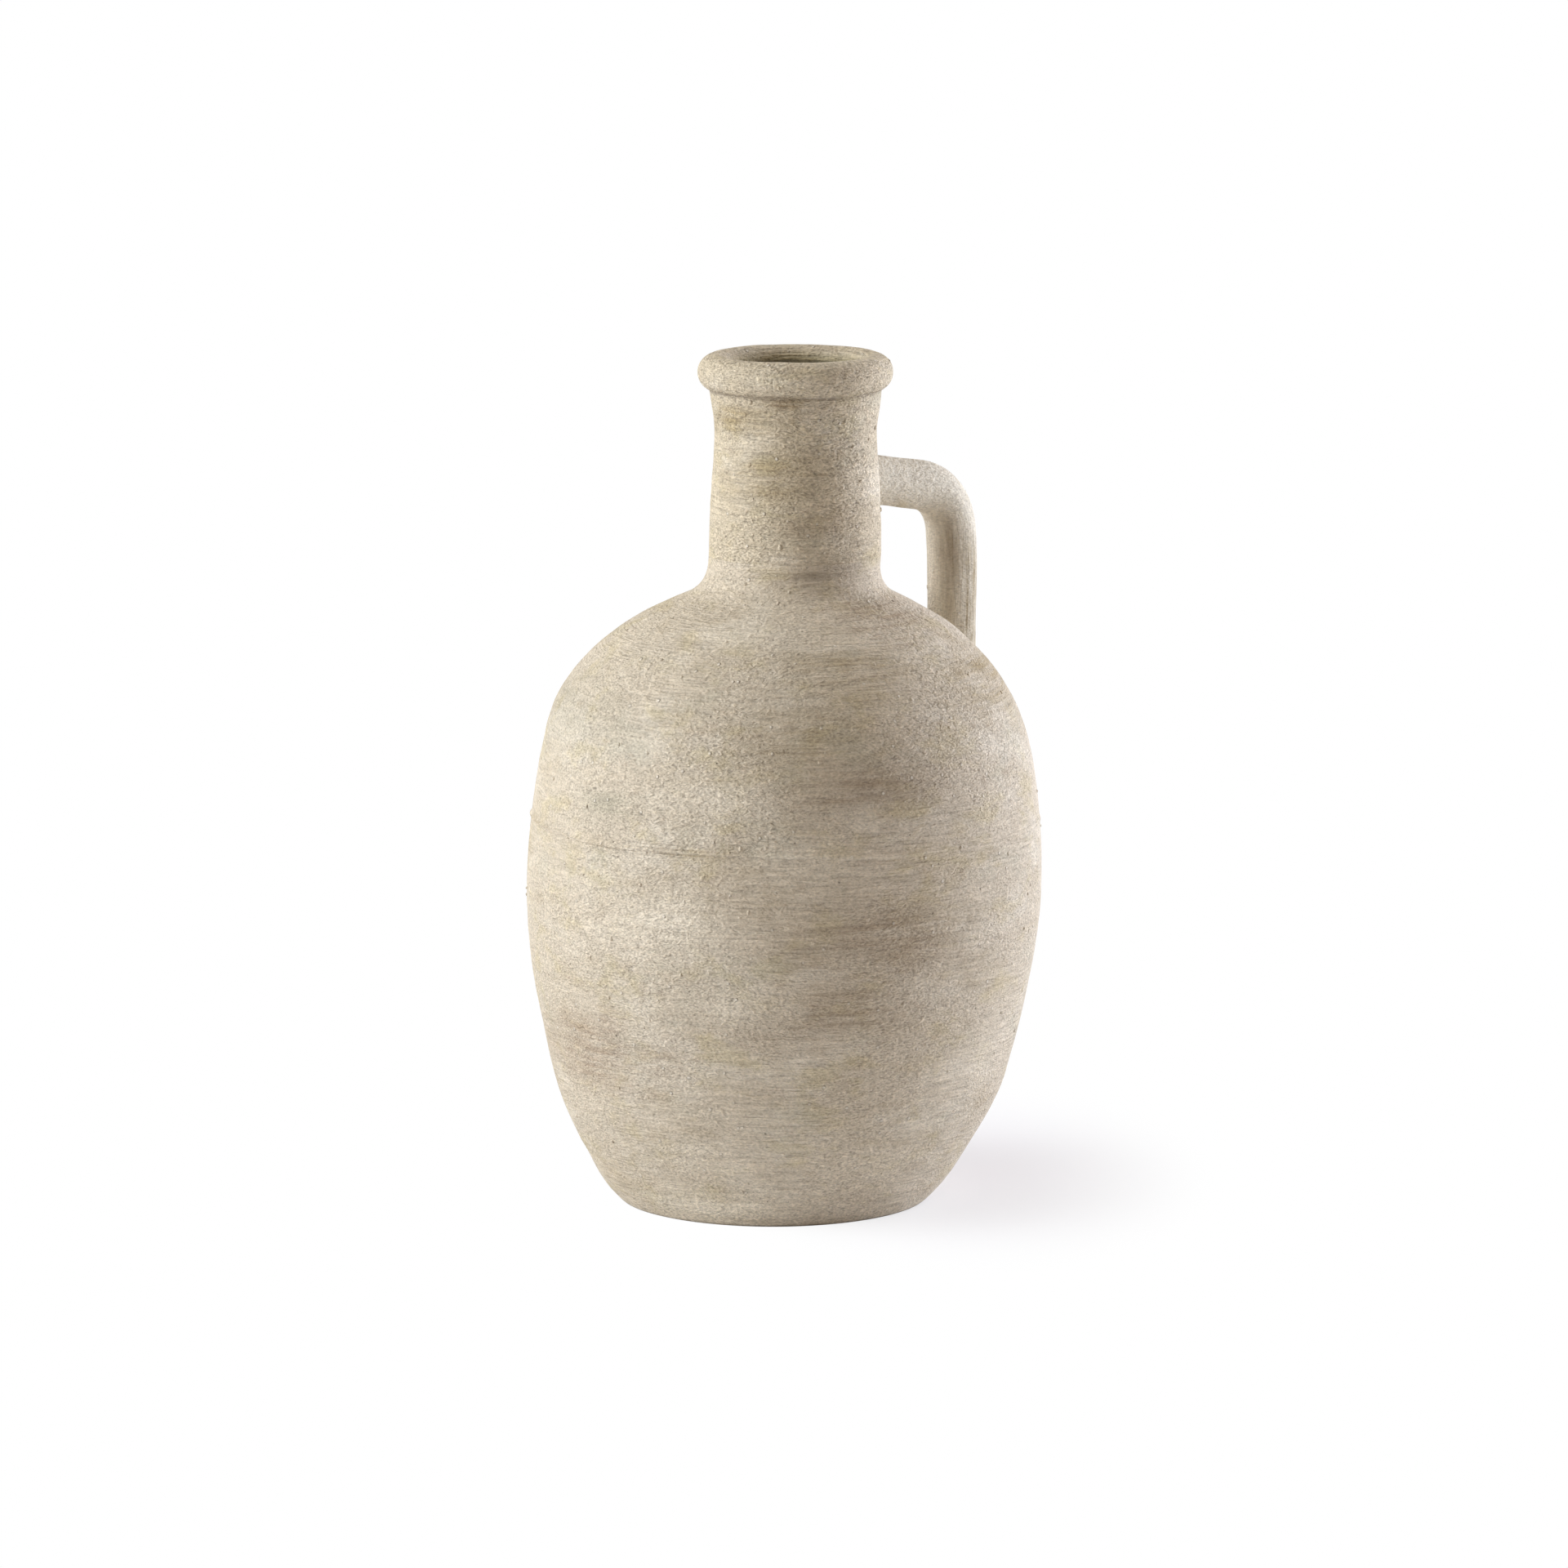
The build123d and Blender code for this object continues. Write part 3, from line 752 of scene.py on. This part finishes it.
seam_zone = 0.007
near_seam = 0.00045
inside_step = 0.006
wall_foot = floor_thickness + slip_thickness
seam_outside = body_stations[4][0]
seam_inside = float(np.interp(seam_height, hollow_line[:, 1], hollow_line[:, 0]))
below_seam = length_at(body_line, seam_height - seam_zone)
lower_rows = np.concatenate((
    rows_on(body_line, length_at(body_line, wall_foot), below_seam, row_step)[:-1],
    rows_on(body_line, below_seam, length_at(body_line, seam_height), near_seam),
    key_rows(seam_height, seam_outside, seam_inside),
    rows_on(hollow_line, length_at(hollow_line, seam_height), length_at(hollow_line, wall_foot),
            inside_step, skin=0.0, bare=1.0),
    key_rows(wall_foot, slab_outside, slab_inside)[::-1],
))
lower_body = turned("lower_body", lower_rows, raised=wiped_ridge)
work_by_hand(lower_body, "lower_body", "washed_clay", washed_clay, **body_skin)

# Belly slip
# The slip between the two bowls. Under the wiped ridge it shows as a thin line round the belly.
slip_ring("belly_slip", body_line, seam_height, seam_outside, seam_inside, raised=wiped_ridge)

# Upper body
# The second bowl, turned over onto the first, with its opening drawn up into a short collar.
# The hollow inside rounds over into the straight throat.
collar_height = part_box("collar_slip")[0].z
bore_radius = 0.0305
root_radius = 0.0403
root_fillet = 0.016
throat_rounding = 0.010
throat_step = 0.003
extra_points = 29


def rounded_upright(line, radius, upright, top):
    """A rising line that an arc takes into the vertical at a radius, and on up to the top."""
    centres = line + outward_of(line) * radius
    meets = int(np.argmax((line[:, 1] > seam_height) & (centres[:, 0] <= upright + radius)))
    centre = centres[meets]
    lean = line[meets] - centre
    turn = math.degrees(math.atan2(lean[1], lean[0])) % 360
    return np.concatenate((line[:meets], arc(centre, radius, turn, 180), ((upright, top),)))


run_on = (hollow_line[-1] - hollow_line[-2]) * np.arange(1, extra_points + 1)[:, None]
shoulder_line = rounded_upright(body_line, root_fillet, root_radius, collar_height + slip_thickness)
throat_line = rounded_upright(np.concatenate((hollow_line, hollow_line[-1] + run_on)),
                              throat_rounding, bore_radius, collar_height)
bowl_foot = seam_height + slip_thickness
above_seam = length_at(shoulder_line, bowl_foot + seam_zone)
upper_rows = np.concatenate((
    rows_on(shoulder_line, length_at(shoulder_line, bowl_foot), above_seam, near_seam)[:-1],
    rows_on(shoulder_line, above_seam, length_at(shoulder_line, collar_height), row_step),
    key_rows(collar_height, root_radius, bore_radius),
    rows_on(throat_line, length_at(throat_line, collar_height), length_at(throat_line, bowl_foot),
            throat_step, skin=0.0, bare=1.0),
    key_rows(bowl_foot, seam_outside, seam_inside)[::-1],
))
upper_body = turned("upper_body", upper_rows, raised=wiped_ridge)
work_by_hand(upper_body, "upper_body", "washed_clay", washed_clay, **body_skin)

# Collar slip
# The slip that glues the neck onto the collar. The wash over it hides it almost wholly.
slip_ring("collar_slip", shoulder_line, collar_height, root_radius, bore_radius)

# Neck
# A tube thrown on its own and set on the collar: narrowest a third of the way down from the
# lip. It has the coarsest wash and the largest grits. Its inside shows the finger rings of the
# throwing and was hardly washed.
neck_stations = (
    (0.0403, 0.3050, -1.0),
    (0.0394, 0.3349, 2.9),
    (0.0378, 0.3616, 0.0),
    (0.0402, 0.3836, -3.6),
)
neck_step = 0.0012
bore_rows = 50
neck_foot = collar_height + slip_thickness
neck_top = neck_stations[-1][0]
lip_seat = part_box("lip_slip")[0].z
bore_skin = 0.7
neck_line = smooth_line(neck_stations)
neck_along = length_at(shoulder_line, collar_height)
neck_rows = np.concatenate((
    rows_on(neck_line, length_at(neck_line, neck_foot), length_at(neck_line, lip_seat), neck_step,
            neck_along),
    key_rows(lip_seat, neck_top, bore_radius),
    [(bore_radius, z, -1, 0, 1.0 - z, bore_skin, 1)
     for z in np.linspace(lip_seat, neck_foot, bore_rows)],
    key_rows(neck_foot, root_radius, bore_radius)[::-1],
))
neck = turned("neck", neck_rows)
neck_ground = "#cbbca2"
neck_contrast = 1.2
neck_depth = 0.00105
neck_clay = clay_finish("coarsely_washed_earthenware", neck_ground, washed_patches, rubbed_places_and_painted_light,
                        neck_contrast, neck_depth)
neck_skin = dict(body_skin, grits_per_square_metre=800.0, grit_radius=0.0017)
work_by_hand(neck, "neck", "washed_clay", neck_clay, **neck_skin)

# Lip slip
# The slip at the bottom of the sharp crevice under the lip, where the wash is painted dark as shade.
roll_radius = 0.0085
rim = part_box("rolled_lip")[1]
roll_centre = (rim.x - roll_radius, rim.z - roll_radius)
inner_roll = roll_centre[0] - bore_radius
seat_angle = math.degrees(math.asin((lip_seat - roll_centre[1]) / roll_radius))
lip_outer = arc(roll_centre, roll_radius, seat_angle, 90)
lip_inner = arc((roll_centre[0], rim.z - inner_roll), inner_roll, 90, 180)
lip_along = neck_along + length_at(neck_line, lip_seat)
slip_ring("lip_slip", lip_outer, lip_seat, neck_top, bore_radius, lip_along)

# Rolled lip
# A fat coil laid on the neck and rolled smooth between wet fingers. It has the same wash as the
# neck, which fades into the bare throat.
lip_foot = lip_seat + slip_thickness
lip_bore_rows = 8
bare_inside = 0.6
bare_below = 0.0020
bare_fade = 0.004
lip_line = np.concatenate((lip_outer[:-1], lip_inner))
lip_edge = rows_on(lip_line, length_at(lip_outer, lip_foot), lengths_of(lip_line)[-1], edge_step,
                   lip_along)
lip_rows = np.concatenate((
    lip_edge,
    [(bore_radius, z, -1, 0, 1.0 - z, bore_skin, 1)
     for z in np.linspace(lip_inner[-1, 1], lip_foot, lip_bore_rows)[1:]],
    key_rows(lip_foot, lip_edge[0, 0], bore_radius)[::-1],
))
facing_in = lip_rows[:, 0] < roll_centre[0] - bare_inside * inner_roll
bareness = np.clip((rim.z - bare_below - lip_rows[:, 1]) / bare_fade, 0, 1)
lip_rows[:, 6] = np.where(facing_in, bareness, 0)
rolled_lip = turned("rolled_lip", lip_rows)
work_by_hand(rolled_lip, "rolled_lip", "washed_clay", neck_clay, **body_skin)

# Handle
# A bar of clay pulled lengthwise with a wet hand, bent over and pressed onto neck and shoulder.
# The pulling leaves long streaks, its wash is painted pale as painted light, and the bar is sunk into
# both walls.
handle_start = np.array((0.01525, 0.34189))
handle_corner = np.array((0.09275, 0.32920))
handle_end = np.array((0.10150, 0.18250))
handle_bend = 0.025
bar_radius = 0.01175
bar_columns = 72
foot_sway = 0.0024
sway_low = 0.268
sway_high = 0.315
bar_sunk = 0.004
bar_step = 0.0015

vessel_line = np.concatenate((shoulder_line, neck_line[1:]))
vessel_outward = outward_of(vessel_line)


def standing_off(points):
    """How far points stand off the vessel's outside, and the direction square to it there."""
    reach = np.hypot(points[:, 0], points[:, 1])
    flat = np.stack((reach, points[:, 2]), 1)
    nearest = np.linalg.norm(flat[:, None] - vessel_line[None], axis=2).argmin(1)
    out = vessel_outward[nearest]
    off = np.einsum("ij,ij->i", flat - vessel_line[nearest], out)
    spin = points[:, :2] / reach[:, None]
    return off, np.stack((out[:, 0] * spin[:, 0], out[:, 0] * spin[:, 1], out[:, 1]), 1)


def bar_point(length, around):
    """The bar's skin at a length along its middle and an angle round it, and which way it faces."""
    first_leg, last_leg = handle_corner - handle_start, handle_end - handle_corner
    leg_in, leg_out = first_leg / np.hypot(*first_leg), last_leg / np.hypot(*last_leg)
    bend = math.acos(float(leg_in @ leg_out))
    reach = handle_bend * math.tan(bend / 2)
    straight = np.hypot(*first_leg) - reach
    turned_by = np.clip((length - straight) / handle_bend, 0, bend)
    heading = math.atan2(leg_in[1], leg_in[0]) - turned_by
    centre = handle_corner - leg_in * reach + handle_bend * np.array((leg_in[1], -leg_in[0]))
    up = np.stack((-np.sin(heading), np.cos(heading)), -1)
    before = np.minimum(length - straight, 0)[..., None] * leg_in
    after = np.maximum(length - straight - handle_bend * bend, 0)[..., None] * leg_out
    middle = centre + handle_bend * up + before + after
    cos, sin = np.cos(around), np.sin(around)
    facing = np.stack((cos * up[..., 0], -sin * np.ones(length.shape), cos * up[..., 1]), -1)
    share = np.clip((sway_high - middle[..., 1]) / (sway_high - sway_low), 0, 1)
    sway = (foot_sway * share**2 * (3 - 2 * share))[..., None] * np.array(to_the_right)
    middle = np.stack((middle[..., 0], np.zeros(length.shape), middle[..., 1]), -1)
    return middle + sway + bar_radius * facing, facing


around = np.linspace(0, 2 * math.pi, bar_columns, endpoint=False)
bar_middle = 0.108
bar_end = 0.215
halvings = 24


def bar_leaves(depth, at_neck):
    """For each line along the bar, the length at which it lies this far off the vessel."""
    inside = np.full(bar_columns, 0.0 if at_neck else bar_end)
    outside = np.full(bar_columns, bar_middle)
    for _ in range(halvings):
        between = (inside + outside) / 2
        within = standing_off(bar_point(between, around)[0])[0] < depth
        inside = np.where(within, between, inside)
        outside = np.where(within, outside, between)
    return (inside + outside) / 2


bar_top, bar_foot = bar_leaves(-bar_sunk, True), bar_leaves(-bar_sunk, False)
shares = np.linspace(0, 1, round((bar_foot.mean() - bar_top.mean()) / bar_step))[:, None]
lengths = bar_top + (bar_foot - bar_top) * shares
angles = np.broadcast_to(around, lengths.shape)
bar_skin, bar_facing = bar_point(lengths, angles)
points = np.concatenate((bar_skin.reshape(-1, 3), [bar_skin[0].mean(0), bar_skin[-1].mean(0)]))
facing = np.concatenate((bar_facing.reshape(-1, 3), ((-1, 0, 0), (0, 0, -1))))
round_bar = stroke_draw * bar_radius
brush = np.stack((lengths, round_bar * np.cos(angles), round_bar * np.sin(angles)), -1)
brush = np.concatenate((brush.reshape(-1, 3), ((0, 0, 0), (0, 0, 0))))
handle = clay_mesh("handle", points, ring_faces(len(lengths), bar_columns, True), facing, brush,
                   np.append(np.ones(lengths.size), (0, 0)), np.zeros(len(points)))
handle_skin = dict(body_skin, wobble=0.0012, wobble_size=0.035, rings=0.0005, ring_spacing=0.006)
patch_draw = 0.5
handle_patches = [(tint, size, patch_draw, *rest) for tint, size, _, *rest in washed_patches[1:]]
# Painted light: the handle's wash is paler than the body's, to stand for light falling on it.
handle_ground = "#e5dcc9"
handle_contrast = 0.65
handle_depth = 0.00072
handle_flatness = 0.3
# Places on the handle: a dark streak, a yellow-brown stain deepened as painted shade on the lower leg,
# and a painted highlight on the leg's left face: middle, reach, colour, how much.
handle_stains_and_painted_light = (
    ((0.090, -0.011, 0.297), 0.0100, "#8f7a60", 0.45),
    # Painted shade: the lower leg darkened where it is shadowed.
    ((0.107, -0.009, 0.274), 0.0190, "#98845f", 0.95),
    # Painted light: the left face of the leg, which the neck hides from the left lamp, made pale.
    ((0.083, 0.003, 0.284), 0.0165, "#f8ecd8", 0.90),
)
handle_clay = clay_finish("pale_handle_earthenware_painted_light", handle_ground, handle_patches,
                          handle_stains_and_painted_light, handle_contrast, handle_depth, handle_flatness)
work_by_hand(handle, "handle", "washed_clay", handle_clay, **handle_skin)

# Handle top luting
# Soft clay worked round the joint of handle and neck with a wet finger, so that the bar runs
# out onto the neck in a hollow curve.
luting_spread = 0.0050
luting_height = 0.0055
luting_steps = 9
luting_sunk = 0.0002
luting_depth = 0.002
luting_draw = 4.0
luting_skin = dict(handle_skin, grits_per_square_metre=0.0)


def luting(node, at_neck):
    """A hollow-curved ring of clay between the bar and the vessel, sunk a little into both."""
    touch = bar_leaves(0.0, at_neck)
    lift = luting_height if at_neck else -luting_height
    on_bar, facing = bar_point(touch + lift, around)
    corner = bar_point(touch, around)[0]
    on_wall = corner + facing * luting_spread
    off, wall_out = standing_off(on_wall)
    on_wall = on_wall - wall_out * off[:, None]
    start = on_bar - facing * luting_sunk
    end = on_wall - wall_out * luting_sunk
    t = np.linspace(0, 1, luting_steps)[:, None, None]
    curve = (1 - t) ** 2 * start + 2 * t * (1 - t) * corner + t**2 * end
    back = np.stack((end - wall_out * luting_depth, corner - (wall_out + facing) * luting_depth,
                     start - facing * luting_depth))
    points = np.concatenate((curve, back)).reshape(-1, 3)
    count = luting_steps + len(back)
    out = np.broadcast_to((facing + wall_out)[None] / 2, (count, bar_columns, 3))
    skin = np.repeat([1.0] * luting_steps + [0.0] * len(back), bar_columns)
    piece = clay_mesh(node, points, ring_faces(count, bar_columns, False), out.reshape(-1, 3),
                      points * luting_draw, skin, np.zeros(len(points)))
    work_by_hand(piece, node, "washed_clay", washed_clay, **luting_skin)


luting("handle_top_luting", True)

# Handle root luting
# The same soft clay round the foot of the bar. The bar meets the shoulder at a slant, so the
# ring is drawn out into a tongue down the outside.
luting("handle_root_luting", False)
